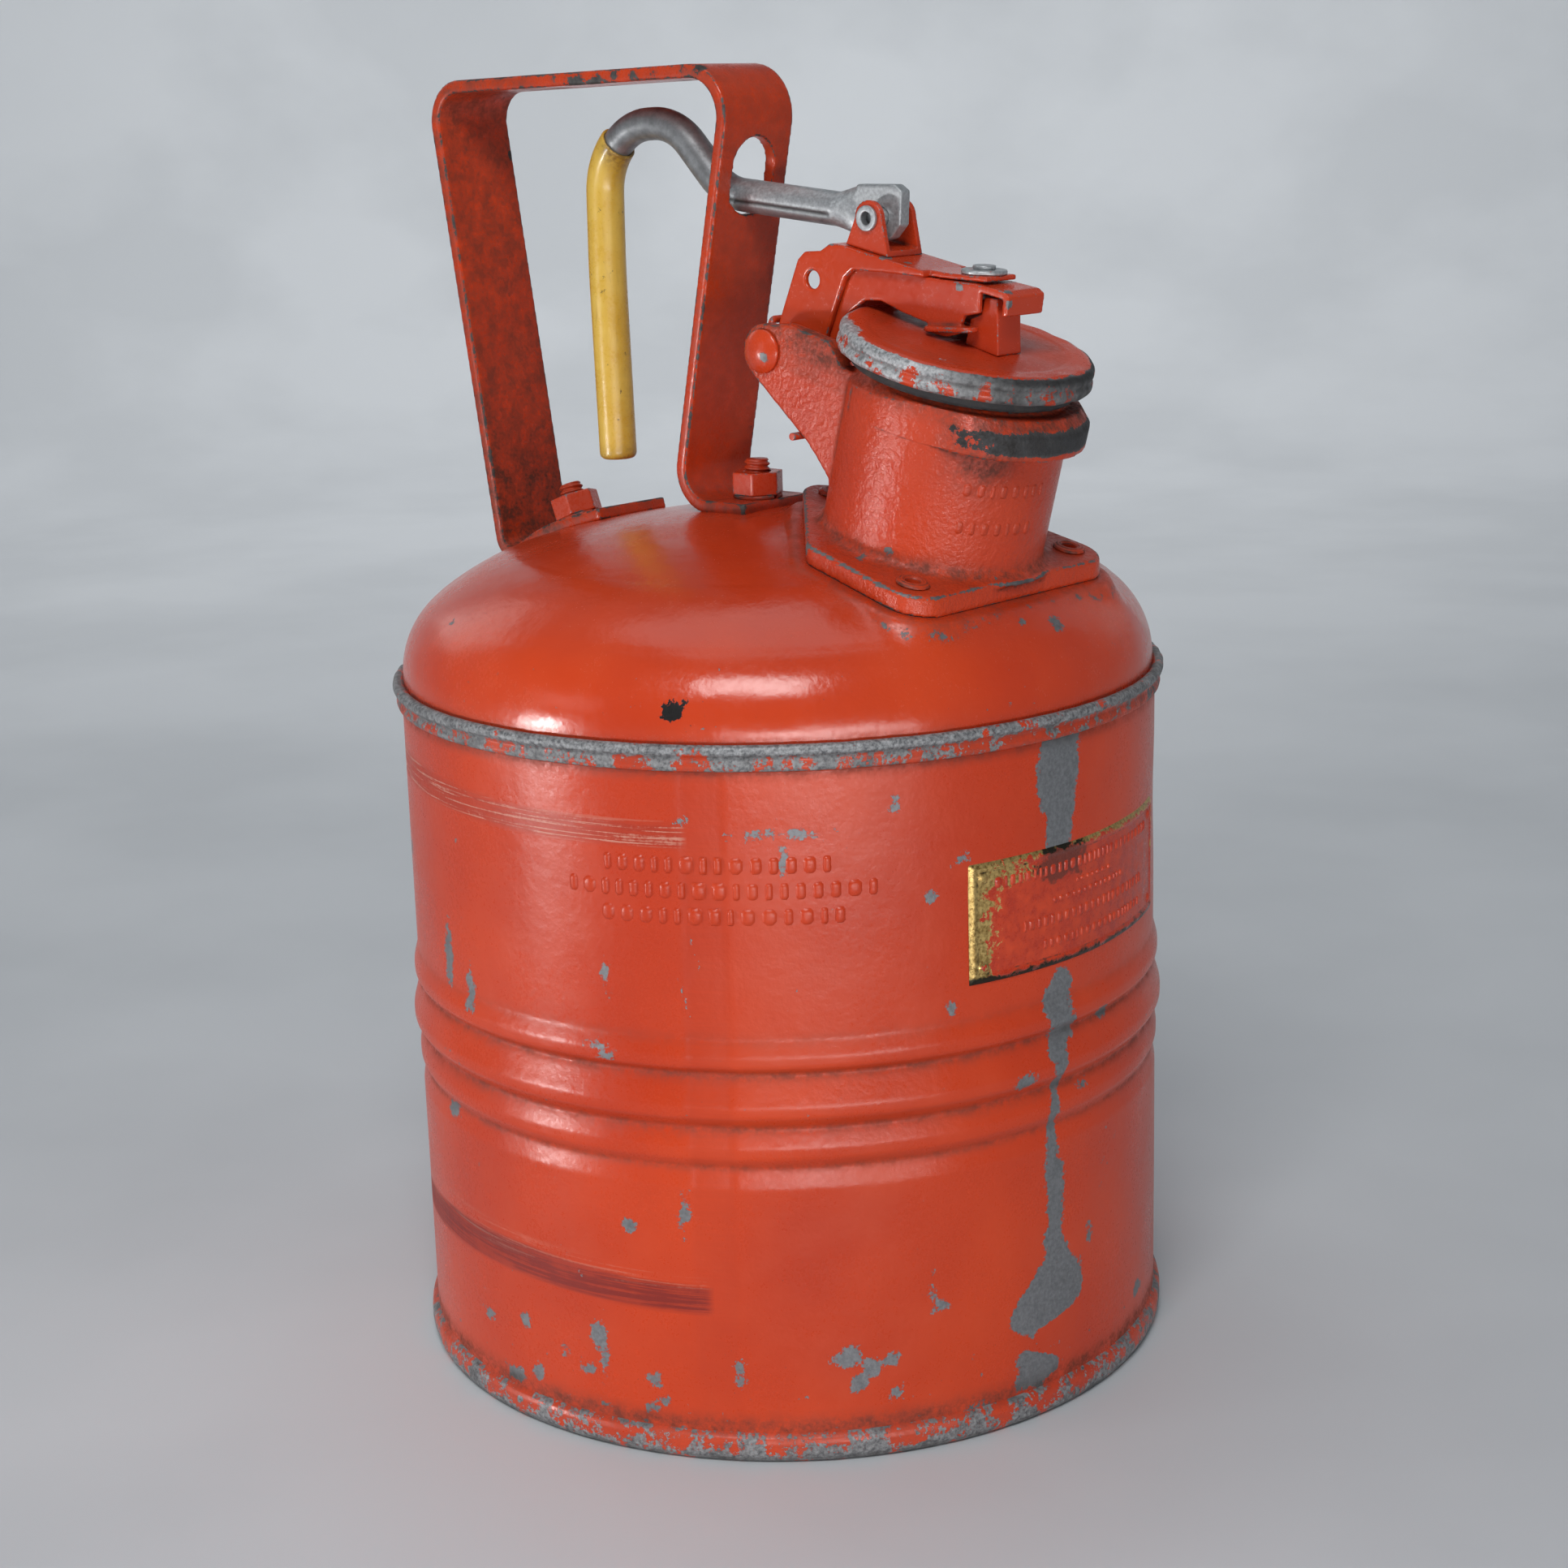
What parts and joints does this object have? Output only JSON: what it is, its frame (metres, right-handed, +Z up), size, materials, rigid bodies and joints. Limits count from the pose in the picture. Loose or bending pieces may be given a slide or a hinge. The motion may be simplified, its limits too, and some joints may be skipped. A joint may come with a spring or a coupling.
{
  "type": "safety gas can",
  "caption": "Round steel safety can for fuel with a strap handle, a sprung self-closing spout cap and a pull rod with a sleeved grip.",
  "frame": {"origin": "centre of the base, on the plane that the can stands on", "axes": "+Z up, +X from the tank's axis towards the spout, +Y across the handle strap"},
  "size_m": [0.2001, 0.1888, 0.3106],
  "materials": {
    "red_paint": "gloss enamel, worn",
    "cast_paint": "enamel over rough casting",
    "bare_steel": "worn zinc plate",
    "zinc": "dull zinc plate",
    "brass": "tarnished",
    "dark_steel": "spring wire, painted over",
    "vinyl": "dipped vinyl",
    "seal": "fuel resistant rubber"
  },
  "bodies": {
    "tank": {"body_shell": "red_paint", "dome_top": "red_paint", "bottom_pan": "red_paint", "top_seam": "bare_steel", "bottom_rim": "bare_steel", "name_plate": "brass", "spout_casting": "cast_paint", "spout_gasket": "seal", "flange_rivets": "red_paint", "flame_arrester": "brass", "pivot_pin": "red_paint", "closing_spring": "dark_steel", "handle_strap": "red_paint", "handle_studs": "red_paint", "handle_nuts": "red_paint", "lock_washers": "red_paint"},
    "cap_arm": {"cap_shell": "red_paint", "cap_gasket": "seal", "cap_retainer": "zinc", "cap_post": "red_paint", "inner_arm": "red_paint", "outer_arm": "red_paint", "arm_washer": "zinc", "arm_rivet": "zinc", "clevis": "red_paint", "clevis_rivet": "zinc", "spring_tang": "dark_steel"},
    "rod": {"pull_rod": "zinc", "grip_sleeve": "vinyl"}
  },
  "joints": [
    {"name": "cap_hinge", "type": "hinge", "parent": "tank", "child": "cap_arm", "pos_m": [0.0156, 0, 0.2456], "axis": [0, -1, 0], "range_deg": [0, 30], "stiffness_Nm_per_rad": 0.6, "springref_deg": -34.38},
    {"name": "rod_pivot", "type": "hinge", "parent": "cap_arm", "child": "rod", "pos_m": [0.0376, 0, 0.2752], "axis": [0, -1, 0], "range_deg": [-24, 0]}
  ],
  "couplings": [
    {"joint": "rod_pivot", "follows": "cap_hinge", "ratio": -0.8}
  ]
}
